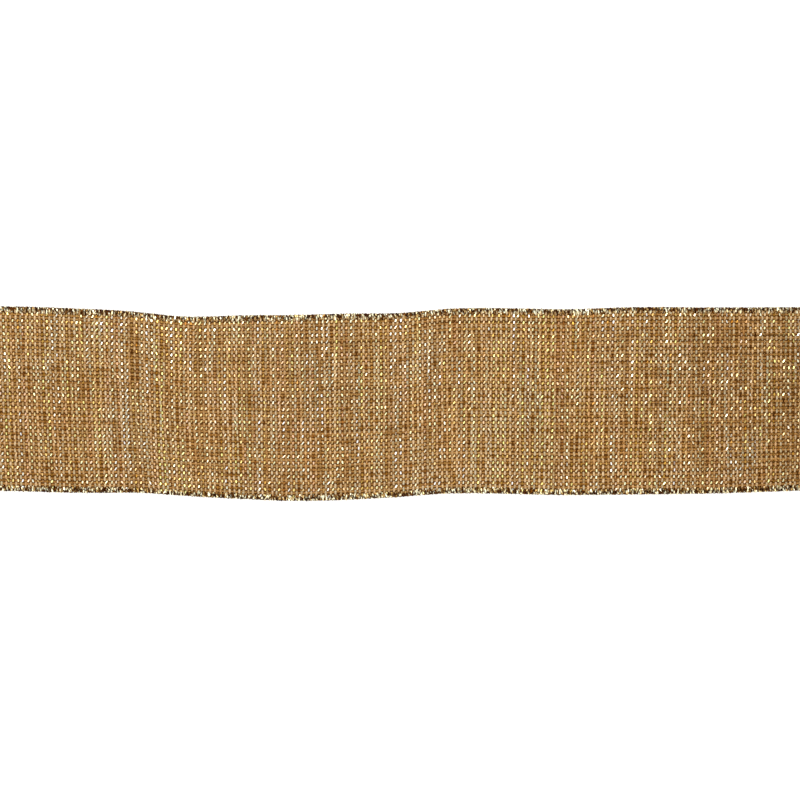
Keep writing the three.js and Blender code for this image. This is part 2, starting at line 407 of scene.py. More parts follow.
def tinsel_material(name, roughness):
    """Metallised film: bright, with fine creases across it."""
    m = Nodes(name)
    creases = m.noise(m.stretched(3.5, 2))
    # The tint carries the painted shine and painted shade of each float or thread.
    m.set(Base_Color=m.tint(), Metallic=1.0)
    m.set(Roughness=m.ramp(creases, 0.3, 0.7, roughness * 0.75, roughness * 1.3))
    m.bump(creases, 0.4, 0.04)
    return m.material


def gap_shade_coat_material():
    """A stiffening coat in the gaps between the yarns; its near-black colour is painted shade, the
    shade that falls in those gaps.
    """
    m = Nodes("coat_with_painted_gap_shade")
    grain = m.noise(m.place(), 1.7)
    # Painted shade: the dark of the gaps between the yarns is given as the coat's colour.
    m.set(Base_Color=m.mix(grain, rgb(0.055, 0.019, 0.002), rgb(0.11, 0.04, 0.004)))
    m.set(Roughness=0.8, Specular_IOR_Level=0.05)
    return m.material


def steel_material():
    """Drawn wire, with fine lines along it."""
    m = Nodes("wire_steel")
    lines = m.noise(m.stretched(0.3, 14), 1.0, 2)
    m.set(Base_Color=m.mix(lines, rgb(0.3, 0.29, 0.27), rgb(0.55, 0.54, 0.52)), Metallic=1.0)
    m.set(Roughness=m.ramp(lines, 0.3, 0.7, 0.3, 0.5))
    return m.material


def fibre_board_material(name, pale, deep, scale):
    """Pressed paper board: short fibres, specks and a slow tone change."""
    m = Nodes(name)
    fibres = m.noise(m.place(), 1.1 * scale, 5, 0.7)
    cloud = m.noise(m.place(), 0.05)
    specks = m.noise(m.place(), 3.1 * scale, 1)
    colour = m.mix(m.ramp(fibres, 0.3, 0.7, 0, 1), deep, pale)
    colour = m.mix(m.ramp(cloud, 0.35, 0.7, 0, 0.25), colour, deep)
    colour = m.mix(m.ramp(specks, 0.69, 0.74, 0, 0.5), colour, rgb(0.1, 0.06, 0.03))
    m.set(Base_Color=colour, Roughness=m.ramp(fibres, 0.3, 0.7, 0.8, 0.95))
    m.bump(fibres, 0.25, 0.08)
    return m.material


PRINTED_RINGS = [(54.5, 0.6), (52.9, 0.2), (27.0, 0.35)]  # radius, half width
RING_BROWN = rgb(0.24, 0.12, 0.035)


def paper_material(name, pale, deep, roughness, rings=()):
    """Smooth coated paper or film with a faint fibre tone, scuffs and perhaps printed rings."""
    m = Nodes(name)
    fibres = m.noise(m.place(), 0.8, 4)
    scuffs = m.noise(m.place(SCUFF_SCALES), 0.35, 3, 0.7)
    colour = m.mix(m.ramp(fibres, 0.3, 0.7, 0, 1), deep, pale)
    m.set(Base_Color=with_rings(m, colour, rings) if rings else colour)
    m.set(Roughness=m.ramp(scuffs, 0.4, 0.7, roughness, roughness + 0.22))
    m.bump(fibres, 0.12, 0.03)
    return m.material


def with_rings(m, colour, rings):
    """The colour with rings round the axle printed over it."""
    at = m.node("ShaderNodeTexCoord").outputs["Object"]
    from_axle = m.math("SUBTRACT", "ShaderNodeVectorMath", at, tuple(AXLE * MM))
    flat = m.math("MULTIPLY", "ShaderNodeVectorMath", from_axle.outputs["Vector"], (1 / MM, 0, 1 / MM))
    length = m.node("ShaderNodeVectorMath")
    length.operation = "LENGTH"
    m.feed(length.inputs[0], flat.outputs["Vector"])
    for radius, half in rings:
        band = m.math("COMPARE", "ShaderNodeMath", length.outputs["Value"], radius)
        band.inputs[2].default_value = half
        colour = m.mix(band.outputs["Value"], colour, RING_BROWN)
    return colour


def moulded_material(name, colour, shade):
    """Moulded plastic: a fine spark-eroded grain and slight yellowing."""
    m = Nodes(name)
    grain = m.noise(m.place(), 2.6, 2)
    cloud = m.noise(m.place(), 0.06, 2)
    m.set(Base_Color=m.mix(m.ramp(cloud, 0.35, 0.65, 0, 1), colour, shade))
    m.set(Roughness=m.ramp(grain, 0.3, 0.7, 0.36, 0.5), Subsurface_Weight=0.06)
    m.shader.inputs["Subsurface Radius"].default_value = (1.0 * MM, 0.8 * MM, 0.6 * MM)
    m.bump(grain, 0.15, 0.02)
    return m.material


# ---------------------------------------------------------------- the weave
#
# A wander is (samples between changes, size): a slow random change along each yarn. A jitter is a
# random change at each sample. Sizes are millimetres, or shares of a yarn's tint or width.

WARP_COUNT = 54
WARP_PITCH = 1.142
PICK_PITCH = 0.839
PICK_COUNT = int(RIBBON_LENGTH / PICK_PITCH) - 1
PICK_REACH = HALF_WIDTH - 0.6  # a pick's end, inside the border
FIRST_PICK = 0.7  # from the cut end

WARP_Y = (np.arange(WARP_COUNT) - (WARP_COUNT - 1) / 2) * WARP_PITCH
PICK_S = FIRST_PICK + np.arange(PICK_COUNT) * PICK_PITCH

WARP_SIZE = (0.33, 0.16)  # half width, half thickness
TAN_SIZE = (0.37, 0.17)
TINSEL_SIZE = (0.225, 0.03)
YARN_SIDES = 6
FILM_SIDES = 4
FILM_CORNER = math.sqrt(2)  # from a flat film's half size to its corners' radius

WARP_CRIMP = 0.08  # height of a warp's middle over the ribbon's middle, where it lies on top
TAN_CRIMP = 0.17
TINSEL_CRIMP = 0.2
TAN_FLOAT = 0.27  # half of the level stretch of a float, in warp pitches
TINSEL_FLOAT = 0.37
MEAN_TINT = 0.8  # of the spun yarns, whose tints must stay under 1
WARPS_A_PIECE = 9
PICKS_A_PIECE = 150

WARP_WANDERS = [(14, 0.08), (60, 0.12)]
ALL_WARPS_WANDER = (30, 0.08)
WARP_JITTER = 0.04
WARP_BULK = (9, 0.08)
WARP_TONE = (40, 0.07)
WARP_TONE_EACH = 0.06
WARP_TONE_JITTER = 0.13
FRAY = (0.5, 2.4)  # least and most that a warp stands out of the cut end
FRAY_SPREAD = 0.35  # sideways
FRAY_HEIGHT = (-0.1, 0.25)  # mean and spread
FRAY_TIP = 0.55  # of the yarn's size

PICK_WANDER = (26, 0.115)
PICK_JITTER = 0.05
TAN_BULK = (8, 0.07)
TAN_TONE = (30, 0.06)
TAN_TONE_EACH = 0.12
TAN_TONE_JITTER = 0.13
TAN_WARMTH = (24, 0.08)

FLOAT_SLANT = (0.07, 0.06)  # half of a tinsel float's shift along the ribbon: mean and spread
FLOAT_JITTER = 0.10
FLOAT_RISE = (0.04, 0.03)  # of tinsel over its crimp: mean and spread
FLOAT_TILT = 0.32  # radians
FLOAT_TILT_JITTER = 0.1
TINSEL_WIDTH = (6, 0.10)
# Painted shine of the tinsel floats, multiplied into their colour: painted highlights and painted
# shade.
TINSEL_PAINTED_SHINES = [1.15, 0.9, 0.5, 0.25]
TINSEL_PAINTED_SHINE_SHARES = [0.62, 0.22, 0.11, 0.05]
TINSEL_PAINTED_SHINE_WANDER = (7, 0.3)
PICK_END_PAINTED_SHADE = 0.6  # painted shade, where a pick enters the border
TINSEL_COLOURS = np.array([
    (1.0, 0.87, 0.64),
    (1.0, 0.82, 0.46),
    (0.98, 0.78, 0.28),
    (0.98, 0.66, 0.44),
    (0.78, 0.54, 0.20),
])
TINSEL_COLOUR_SHARES = [0.28, 0.28, 0.20, 0.14, 0.10]
TINSEL_COLOUR = (24, 0.5)


def pick_is_over(picks, warps):
    """+1 where a pick lies over a warp and -1 where it lies under it: a plain weave."""
    return np.where((picks[:, None] + warps) % 2 == 0, 1, -1)


def doubled(values):
    """Each value twice along the last axis, for the two rings at each crossing."""
    return np.repeat(values, 2, axis=-1)


def build_warps(material):
    rng = np.random.default_rng(11)
    grid = (WARP_COUNT, PICK_COUNT)
    wander = drift(rng, grid, *WARP_WANDERS[0]) + drift(rng, grid, *WARP_WANDERS[1])
    shared = drift(rng, (1, PICK_COUNT), *ALL_WARPS_WANDER)
    ring_s = doubled(PICK_S) + np.tile([-0.25, 0.25], PICK_COUNT) * PICK_PITCH
    pieces = []
    for first in range(0, WARP_COUNT, WARPS_A_PIECE):
        warps = np.arange(first, min(first + WARPS_A_PIECE, WARP_COUNT))
        each = (len(warps), 1)
        jitter = rng.normal(0, WARP_JITTER, (len(warps), PICK_COUNT))
        y = doubled(WARP_Y[warps, None] + wander[warps] + shared + jitter)
        lift = doubled(-WARP_CRIMP * pick_is_over(np.arange(PICK_COUNT), warps).T)
        fray_s = ring_s[0] - rng.uniform(*FRAY, each)
        fray_y = y[:, :1] + rng.normal(0, FRAY_SPREAD, each)
        s = np.concatenate([fray_s, np.broadcast_to(ring_s, y.shape)], 1)
        y = np.concatenate([fray_y, y], 1)
        lift = np.concatenate([rng.normal(*FRAY_HEIGHT, each), lift], 1)
        centre, _, across, normal = ribbon_frame(s, y / HALF_WIDTH)
        centre = centre + normal * lift[..., None]
        bulk = 1 + drift(rng, s.shape, *WARP_BULK)
        bulk[:, 0] = FRAY_TIP
        tone = 1 + drift(rng, s.shape, *WARP_TONE) + rng.normal(0, WARP_TONE_EACH, each)
        tone = tone * np.clip(1 + rng.normal(0, WARP_TONE_JITTER, s.shape), 0.4, 1.7)
        half_width, half_height = WARP_SIZE[0] * bulk, WARP_SIZE[1] * bulk
        tint = MEAN_TINT * browner_when_dim(tone)
        strands = Strands()
        strands.add(centre, across, normal, half_width, half_height, YARN_SIDES, tint)
        pieces.append(strands.build(f"warp_yarns_{first // WARPS_A_PIECE + 1}", material, 180))
    return pieces


def pick_batches(first):
    """Every second pick from the first, in numbered batches, each of which makes one piece."""
    span = 2 * PICKS_A_PIECE
    for number, start in enumerate(range(first, PICK_COUNT, span), 1):
        yield number, np.arange(start, min(start + span, PICK_COUNT), 2)


def pick_rings(picks, float_half, rng):
    """Where the rings of these picks lie: two to each warp, and one at either end."""
    offsets = np.array([-1, 1]) * float_half * WARP_PITCH
    y = (WARP_Y[:, None] + offsets).reshape(-1)
    y = np.concatenate([[-PICK_REACH], y, [PICK_REACH]])
    lift = doubled(pick_is_over(picks, np.arange(WARP_COUNT))).astype(float)
    lift = with_ends(lift, 0)
    shape = (len(picks), len(y))
    wander = drift(rng, shape, *PICK_WANDER) + rng.normal(0, PICK_JITTER, shape)
    return PICK_S[picks, None] + wander, np.broadcast_to(y, shape), lift


def with_ends(values, end):
    """The values with one more at either end of each pick."""
    return np.pad(values, ((0, 0), (1, 1)), constant_values=end)


def tilted(side, up, angle):
    """Side and up directions turned about the strand by an angle."""
    c, s = np.cos(angle)[..., None], np.sin(angle)[..., None]
    return side * c + up * s, up * c - side * s


def build_tan_picks(material):
    rng = np.random.default_rng(23)
    pieces = []
    for number, picks in pick_batches(1):
        s, y, lift = pick_rings(picks, TAN_FLOAT, rng)
        centre, along, _, normal = ribbon_frame(s, y / HALF_WIDTH)
        centre = centre + normal * (TAN_CRIMP * lift)[..., None]
        bulk = 1 + drift(rng, s.shape, *TAN_BULK)
        tone = 1 + drift(rng, s.shape, *TAN_TONE) + rng.normal(0, TAN_TONE_EACH, (len(picks), 1))
        tone = np.clip(tone + rng.normal(0, TAN_TONE_JITTER, s.shape), 0.4, 1.25)
        warmth = 1 + drift(rng, s.shape, *TAN_WARMTH)
        warm = np.stack([warmth, np.ones_like(warmth), 2 - warmth], -1)
        tint = MEAN_TINT * browner_when_dim(tone) * warm
        half_width, half_height = TAN_SIZE[0] * bulk, TAN_SIZE[1] * bulk
        strands = Strands()
        strands.add(centre, along, normal, half_width, half_height, YARN_SIDES, tint)
        pieces.append(strands.build(f"tan_picks_{number}", material, 180))
    return pieces


def tinsel_tint(rng, shape):
    """A colour for each ring of each strand, which changes slowly along it."""
    picked = [rng.choice(len(TINSEL_COLOURS), shape[0], p=TINSEL_COLOUR_SHARES) for _ in range(2)]
    first, second = (TINSEL_COLOURS[choice][:, None] for choice in picked)
    share = np.clip(0.3 + drift(rng, shape, *TINSEL_COLOUR), 0, 1)[..., None]
    return first * (1 - share) + second * share


def browner_when_dim(shine):
    """Darker also means browner: for the yarns' random tone, and for the painted shade on tinsel and
    threads.
    """
    loss = np.minimum(shine, 1)
    return np.stack([shine, shine * loss**0.45, shine * loss**1.4], -1)


def painted_tinsel_shine(rng, picks):
    """Painted shine of each float, multiplied into its colour: mostly a painted highlight, with
    painted shade on some, as if they lay turned away from the light.
    """
    shape = (len(picks), WARP_COUNT)
    shine = rng.choice(TINSEL_PAINTED_SHINES, shape, p=TINSEL_PAINTED_SHINE_SHARES)
    shine = shine * np.clip(1 + drift(rng, shape, *TINSEL_PAINTED_SHINE_WANDER), 0.3, 1.3)
    return browner_when_dim(with_ends(doubled(shine), PICK_END_PAINTED_SHADE))


def build_tinsel_picks(material):
    rng = np.random.default_rng(37)
    pieces = []
    for number, picks in pick_batches(0):
        s, y, lift = pick_rings(picks, TINSEL_FLOAT, rng)
        slant = FLOAT_SLANT[0] + FLOAT_SLANT[1] * rng.normal(0, 1, (len(picks), 1))
        s = s + slant * np.tile([1, -1], WARP_COUNT + 1) + FLOAT_JITTER * rng.normal(0, 1, s.shape)
        centre, along, _, normal = ribbon_frame(s, y / HALF_WIDTH)
        tilt = with_ends(doubled(rng.normal(0, 1, (len(picks), WARP_COUNT))), 0)
        rise = FLOAT_RISE[0] + FLOAT_RISE[1] * rng.normal(0, 1, s.shape)
        centre = centre + normal * (TINSEL_CRIMP * lift + rise)[..., None]
        tilt = FLOAT_TILT * tilt + FLOAT_TILT_JITTER * rng.normal(0, 1, s.shape)
        side, up = tilted(along, normal, tilt)
        shine = painted_tinsel_shine(rng, picks)
        half_width = TINSEL_SIZE[0] * FILM_CORNER * (1 + drift(rng, s.shape, *TINSEL_WIDTH))
        half_height = TINSEL_SIZE[1] * FILM_CORNER
        # The colour carries each float's painted shine and painted shade.
        tint = tinsel_tint(rng, s.shape) * shine
        strands = Strands()
        strands.add(centre, side, up, half_width, half_height, FILM_SIDES, tint, flat=True)
        pieces.append(strands.build(f"tinsel_picks_{number}", material, 20))
    return pieces


COAT_HALF = 0.04
COAT_STEP = 2.0  # along the ribbon
COAT_POINTS = 17  # across it
COAT_SETBACK = (0.3, 1.2)  # from the ribbon's ends, and from its edges


def build_gap_shade_coat(material):
    """A thin film in the middle of the weave, whose dark colour is painted shade for the gaps between
    the yarns.
    """
    rings = int(RIBBON_LENGTH / COAT_STEP)
    s = np.linspace(COAT_SETBACK[0], RIBBON_LENGTH - COAT_SETBACK[0], rings)
    v = np.linspace(-1, 1, COAT_POINTS) * (HALF_WIDTH - COAT_SETBACK[1]) / HALF_WIDTH
    centre, _, _, normal = ribbon_frame(s[:, None], v[None, :])
    above = centre + normal * COAT_HALF
    below = centre - normal * COAT_HALF
    return closed_sweep("coat_with_painted_gap_shade", np.concatenate([above, below[:, ::-1]], 1), material, 30)


def closed_sweep(name, rings, material, smooth_angle):
    """A closed solid from (ring, point, 3) outlines, with its two ends filled in."""
    count, sides = rings.shape[:2]
    index = np.arange(count * sides).reshape(count, sides)
    following = np.roll(index, -1, 1)
    quads = np.stack([index[:-1], index[1:], following[1:], following[:-1]], -1).reshape(-1, 4)
    steps = np.arange(sides // 2 - 1)
    cap = np.stack([steps, steps + 1, sides - 2 - steps, sides - 1 - steps], -1)
    caps = np.concatenate([index[0][cap], index[-1][cap[:, ::-1]]])
    loops = np.concatenate([quads, caps]).reshape(-1)
    mesh = mesh_from(name, rings.reshape(-1, 3), loops, np.full(len(loops) // 4, 4))
    return finish_piece(name, mesh, material, smooth_angle)


# ---------------------------------------------------------------- borders and wires

BORDER_HALF = (BORDER_WIDTH / 2, 0.46)  # half width, half thickness
BORDER_Y = HALF_WIDTH - BORDER_HALF[0]
CORE_SHARE = (0.86, 0.7)  # of the border's half sizes
CORE_STEP = 1.2
ROUND_SIDES = 8
WIRE_RADIUS = 0.2
WIRE_ENDS = [-1.6, -0.8]  # rings that stand out of the cut end
WIRE_STEP = 1.5

THREAD_PITCH = 1.45
THREAD_RINGS = 10  # to a turn
THREAD_SIZE = (0.19, 0.03)
THREAD_LAYER = 0.03  # how much further out each thread lies than the one before
# Each thread's hand, the share of a turn that it starts at, and its reach over the cloth
THREADS = [(1, 0.0, 1.0), (-1, 0.5, 1.8), (1, 0.5, 1.3)]
THREAD_TURN = (7, 0.35)  # wanders, as in the weave
THREAD_ALONG = (5, 0.14)
THREAD_OUT = (4, 0.05)
THREAD_TWIST = (3, 0.45)
THREAD_WIDTH = (5, 0.15)
# Painted shine of the border threads, multiplied into their colour: painted glints and painted shade.
THREAD_PAINTED_SHINES = [1.1, 0.5, 0.12, 0.03]
THREAD_PAINTED_SHINE_SHARES = [0.27, 0.14, 0.22, 0.37]
THREAD_PALE = np.array([1.0, 0.90, 0.66])
THREAD_GOLD = np.array([0.92, 0.72, 0.34])
THREAD_COLOUR = (12, 0.35)


def border_tint(rng, shape):
    """Pale gold, with stretches of deeper gold."""
    share = np.clip(0.25 + drift(rng, shape, *THREAD_COLOUR), 0, 1)[..., None]
    return THREAD_PALE * (1 - share) + THREAD_GOLD * share


def add_thread(strands, rng, number, sign):
    """Winds one flat thread round a border."""
    hand, start, reach_in = THREADS[number]
    ring = np.arange(int(RIBBON_LENGTH / THREAD_PITCH) * THREAD_RINGS)[None]
    angle = hand * TURN * (ring / THREAD_RINGS + start) + drift(rng, ring.shape, *THREAD_TURN)
    s = 0.5 + ring * THREAD_PITCH / THREAD_RINGS + drift(rng, ring.shape, *THREAD_ALONG)
    s = np.clip(s, 0, RIBBON_LENGTH - 0.1)
    centre, _, across, normal = ribbon_frame(s, sign * BORDER_Y / HALF_WIDTH)
    loose = 0.95 + drift(rng, ring.shape, *THREAD_OUT) + THREAD_LAYER * number
    reach = np.cos(angle) * BORDER_HALF[0]
    reach = np.where(reach * sign < 0, reach * reach_in, reach)
    out = across * reach[..., None] + normal * (np.sin(angle)[..., None] * BORDER_HALF[1])
    centre = centre + out * loose[..., None]
    run = unit(np.gradient(centre, axis=1))
    up = unit(out - run * (out * run).sum(-1, keepdims=True))
    side, up = tilted(np.cross(run, up), up, drift(rng, ring.shape, *THREAD_TWIST))
    half_width = THREAD_SIZE[0] * FILM_CORNER * (1 + drift(rng, ring.shape, *THREAD_WIDTH))
    half_height = THREAD_SIZE[1] * FILM_CORNER
    # Painted glints and painted shade, wrap by wrap.
    shine = browner_when_dim(rng.choice(THREAD_PAINTED_SHINES, ring.shape, p=THREAD_PAINTED_SHINE_SHARES))
    tint = border_tint(rng, ring.shape) * shine
    strands.add(centre, side, up, half_width, half_height, FILM_SIDES, tint, flat=True)


def build_rod(name, s, v, half_width, half_height, material, smooth_angle):
    """A plain round strand along the ribbon."""
    centre, _, across, normal = ribbon_frame(s[None], v)
    rod = Strands()
    rod.add(centre, across, normal, half_width, half_height, ROUND_SIDES)
    return rod.build(name, material, smooth_angle)


def build_border(side_name, sign, core_material, thread_material, wire_material):
    """A border's core, the threads wound over it and the wire in it."""
    rng = np.random.default_rng(51 + sign)
    v = sign * BORDER_Y / HALF_WIDTH
    core_s = np.arange(0.2, RIBBON_LENGTH - 0.2, CORE_STEP)
    core_half = [half * share for half, share in zip(BORDER_HALF, CORE_SHARE)]
    core = build_rod(f"{side_name}_border_core", core_s, v, *core_half, core_material, 180)
    threads = Strands()
    for number in range(len(THREADS)):
        add_thread(threads, rng, number, sign)
    thread = threads.build(f"{side_name}_border_thread", thread_material, 20)
    wire_s = np.concatenate([WIRE_ENDS, np.arange(0, RIBBON_LENGTH - 1, WIRE_STEP)])
    wire = build_rod(f"{side_name}_wire", wire_s, v, WIRE_RADIUS, WIRE_RADIUS, wire_material, 60)
    place(core, "ribbon", "border_tinsel", f"{side_name}_border")
    place(thread, "ribbon", "border_tinsel")
    place(wire, "ribbon", "edge_wire", f"{side_name}_edge_wire")
    return [core, thread, wire]


# ---------------------------------------------------------------- the turns on the spool

WHOLE_RIBBON = 9144.0  # 10 yards
WOUND_HALF = 0.36  # half the thickness of a wound turn
WOUND_STEPS = 110  # to a turn
WOUND_POINTS = 5  # across a turn
WOUND_OUTER = WOUND_RADIUS - WOUND_HALF - 0.1
WOUND_INNER = TUBE_OUTER + 1.0
WOUND_LENGTH = WHOLE_RIBBON - RIBBON_LENGTH
# The rest of the ribbon just fits between the two radii
WOUND_PITCH = math.pi * (WOUND_OUTER**2 - WOUND_INNER**2) / WOUND_LENGTH
WOUND_CLOTH_HALF = HALF_WIDTH - BORDER_WIDTH + 0.1
WOUND_RIPPLE = (9, 0.025)
WOUND_EDGE_SIZE = (BORDER_HALF[0] * 0.9, WOUND_HALF * 1.1)
WOUND_EDGE_WANDER = (40, 0.05)
WOUND_EDGE_WAVE = 0.10  # of its thickness, at every third step or so
WOUND_EDGE_BULK = (2, 0.06)
# Painted shine and painted shade along the wound borders, multiplied into their colour.
WOUND_EDGE_PAINTED_SHINE = (2, 0.3)


def wound_line():
    """Angle from the roll's lowest side and radius along the wound turns, from the outside in."""
    turns = (WOUND_OUTER - WOUND_INNER) / WOUND_PITCH
    angle = np.linspace(0, TURN * turns, int(turns * WOUND_STEPS))
    return angle, WOUND_OUTER - WOUND_PITCH * angle / TURN


def round_axle(angle, radius, y):
    """Points at an angle from straight down, turning towards +X, at a radius and a y."""
    angle, radius, y = np.broadcast_arrays(angle, radius, y)
    return np.stack([AXLE[0] + radius * np.sin(angle), y, AXLE[2] - radius * np.cos(angle)], -1)


def build_wound_edge(side_name, sign, angle, radius, rng, material):
    """The border along one side of the wound turns."""
    shape = (1, len(angle))
    middle = sign * BORDER_Y + drift(rng, shape, *WOUND_EDGE_WANDER)
    centre = round_axle(angle[None], radius[None], middle)
    out = unit(centre * (1, 0, 1) - AXLE * (1, 0, 1))
    side = np.broadcast_to((0.0, 1.0, 0.0), out.shape)
    wave = WOUND_EDGE_WAVE * np.sin(np.arange(len(angle)) * 2.1)[None]
    bulk = 1 + wave + drift(rng, shape, *WOUND_EDGE_BULK)
    half_width, half_height = WOUND_EDGE_SIZE[0] * bulk, WOUND_EDGE_SIZE[1] * bulk
    tint = border_tint(rng, shape)
    # Painted shine and painted shade along the border.
    tint = tint * browner_when_dim(np.clip(0.65 + drift(rng, shape, *WOUND_EDGE_PAINTED_SHINE), 0.15, 1.1))
    strands = Strands()
    strands.add(centre, side, out, half_width, half_height, YARN_SIDES, tint)
    return strands.build(f"{side_name}_wound_edge", material, 180)


def build_wound(cloth_material, thread_material):
    """The turns under the last one: one spiral sheet with its two borders."""
    rng = np.random.default_rng(71)
    angle, radius = wound_line()
    across = np.linspace(-WOUND_CLOTH_HALF, WOUND_CLOTH_HALF, WOUND_POINTS)[None]
    ripple = drift(rng, (WOUND_POINTS, len(angle)), *WOUND_RIPPLE).T
    inside = round_axle(angle[:, None], radius[:, None] - WOUND_HALF + ripple, across)
    outside = round_axle(angle[:, None], radius[:, None] + WOUND_HALF + ripple, across)
    rings = np.concatenate([outside, inside[:, ::-1]], 1)
    cloth = closed_sweep("wound_turns", rings, cloth_material, 40)
    place(cloth, "spool", "ribbon_weave", "wound_cloth")
    for side_name, sign in (("front", -1), ("rear", 1)):
        border = build_wound_edge(side_name, sign, angle, radius, rng, thread_material)
        place(border, "spool", "border_tinsel", f"{side_name}_wound_border")


# ---------------------------------------------------------------- the spool

TUBE_WALL = 1.5
TUBE_INNER = TUBE_OUTER - TUBE_WALL
RIM_SEGMENTS = 216
HUB_SEGMENTS = 144
CORNER_STEPS = 4
SHARP_EDGE = 35  # degrees

FLANGE_WAVE = 0.05  # how far a flange's rim wanders, for a radius that isn't quite even
PAPER_WAVE = 0.06
WAVE_COUNTS = range(2, 26)  # waves round the rim
PLY_GROOVE = (0.09, 0.16)  # half width and depth of the groove between the flange's two plies
PAPER_EDGE = 0.09
TUBE_EDGE = 0.2

HUB_BORE = 14.0
COLLAR_OUTER = 17.2
LIP_THICKNESS = 1.2
BEAD_HEIGHT, BEAD_RISE = 0.15, 1.2
TIP_TAPER = 0.5
LIP_GROOVE = (0.7, 0.3, 0.35)  # half width at the face, half width at the bottom, depth
SLOT_WIDTH, SLOT_DEPTH = 2.6, 8.0


def rounded(corners, radii):
    """A closed (radius, y) outline with each corner rounded to its own radius."""
    corners = np.array(corners, float)
    befores, afters = np.roll(corners, 1, 0), np.roll(corners, -1, 0)
    outline = []
    for corner, before, after, size in zip(corners, befores, afters, radii):
        if size == 0:
            outline.append(corner)
            continue
        start = corner + unit(before - corner) * size
        end = corner + unit(after - corner) * size
        for t in np.linspace(0, 1, CORNER_STEPS):
            outline.append((1 - t)**2 * start + 2 * t * (1 - t) * corner + t**2 * end)
    return np.array(outline)


def rim_waves(angle, seed):
    """A slow random wave round the rim, for material that isn't quite true."""
    rng = np.random.default_rng(seed)
    return sum(rng.normal(0, 1) * np.sin(k * angle + rng.uniform(0, TURN)) / k for k in WAVE_COUNTS)


def turned(name, outline, material, segments=RIM_SEGMENTS, uneven=0.0, seed=0):
    """A closed outline of (radius, y) points turned round the axle, with an uneven rim and faces."""
    angle = TURN * np.arange(segments) / segments
    radius = np.broadcast_to(outline[:, 0], (segments, len(outline))).copy()
    y = np.broadcast_to(outline[:, 1], (segments, len(outline))).copy()
    if uneven:
        waves = rim_waves(angle, seed)
        share = np.clip((radius - radius.min()) / np.ptp(radius), 0, 1) ** 4
        radius += uneven * waves[:, None] * share
        y += 0.5 * uneven * np.roll(waves, segments // 3)[:, None] * share
    points = round_axle(angle[:, None], radius, y)
    index = np.arange(radius.size).reshape(radius.shape)
    right, ahead = np.roll(index, -1, 1), np.roll(index, -1, 0)
    quads = np.stack([index, right, np.roll(right, -1, 0), ahead], -1).reshape(-1, 4)
    r, w = outline.T
    runs_inwards = (r * np.roll(w, -1) - np.roll(r, -1) * w).sum() < 0
    if runs_inwards:
        quads = quads[:, ::-1]
    mesh = mesh_from(name, points.reshape(-1, 3), quads.reshape(-1), np.full(len(quads), 4))
    return finish_piece(name, mesh, material, SHARP_EDGE)


def mirrored(outline, sign):
    """The outline for the rear side, or its mirror for the front side."""
    return outline * (1, sign)


def flange_outline():
    """Board of two plies, with a fine groove between them round the rim."""
    inner_y, outer_y = FLANGE_LOW[1], FLANGE_HIGH[1]
    middle = (inner_y + outer_y) / 2
    half, depth = PLY_GROOVE
    corners = [
        (TUBE_INNER, inner_y),
        (FLANGE_RADIUS, inner_y),
        (FLANGE_RADIUS, middle - half),
        (FLANGE_RADIUS - depth, middle),
        (FLANGE_RADIUS, middle + half),
        (FLANGE_RADIUS, outer_y),
        (TUBE_INNER, outer_y),
    ]
    outline = rounded(corners, [0.15, 0.5, 0.1, 0, 0.1, 0.5, 0.15])
    room_for_waves = 0.12
    return outline - (room_for_waves, 0)


def ring_outline(node, outer, edge):
    """A ring from the tube's bore out to a radius, as wide as a CAD node, with rounded corners."""
    low, high = node_box(node)
    corners = [(TUBE_INNER, low[1]), (outer, low[1]), (outer, high[1]), (TUBE_INNER, high[1])]
    return rounded(corners, [edge] * 4)


def hub_outline():
    """A lip that clamps the flange, grooved on its face, and a collar with a snap bead."""
    low, high = node_box("rear_hub_cap")
    lip_radius = high[2] - AXLE[2]
    tip, face = low[1], high[1]
    under = face - LIP_THICKNESS
    groove = (lip_radius + HUB_BORE) / 2
    wide, narrow, depth = LIP_GROOVE
    corners = [
        (HUB_BORE, tip),
        (COLLAR_OUTER - TIP_TAPER, tip),
        (COLLAR_OUTER + BEAD_HEIGHT, tip + BEAD_RISE),
        (COLLAR_OUTER, tip + 2 * BEAD_RISE),
        (COLLAR_OUTER, under),
        (lip_radius, under),
        (lip_radius, face),
        (groove + wide, face),
        (groove + narrow, face - depth),
        (groove - narrow, face - depth),
        (groove - wide, face),
        (HUB_BORE, face),
    ]
    return rounded(corners, [0.2, 0.2, 0.4, 0.3, 0.15, 0.3, 0.6, 0.2, 0.15, 0.15, 0.2, 0.8])


def cut_slots(piece, tip, sign):
    """Cuts two crossing slots from the collar's tip, which leave four fingers."""
    for turn in (math.pi / 4, -math.pi / 4):
        bpy.ops.mesh.primitive_cube_add(size=1)
        slot = bpy.context.active_object
        slot.scale = (3 * HUB_BORE * MM, 2 * SLOT_DEPTH * MM, SLOT_WIDTH * MM)
        slot.location = Vector((AXLE[0], sign * tip, AXLE[2])) * MM
        slot.rotation_euler = (0, turn, 0)
        cut = piece.modifiers.new("slot", "BOOLEAN")
        cut.operation, cut.solver, cut.object = "DIFFERENCE", "EXACT", slot
        bpy.context.view_layer.update()
        evaluated = piece.evaluated_get(bpy.context.evaluated_depsgraph_get())
        cut_mesh = bpy.data.meshes.new_from_object(evaluated)
        piece.modifiers.clear()
        piece.data = cut_mesh
        bpy.data.objects.remove(slot)
    piece.data.name = piece.name
    piece.data.set_sharp_from_angle(angle=math.radians(SHARP_EDGE))


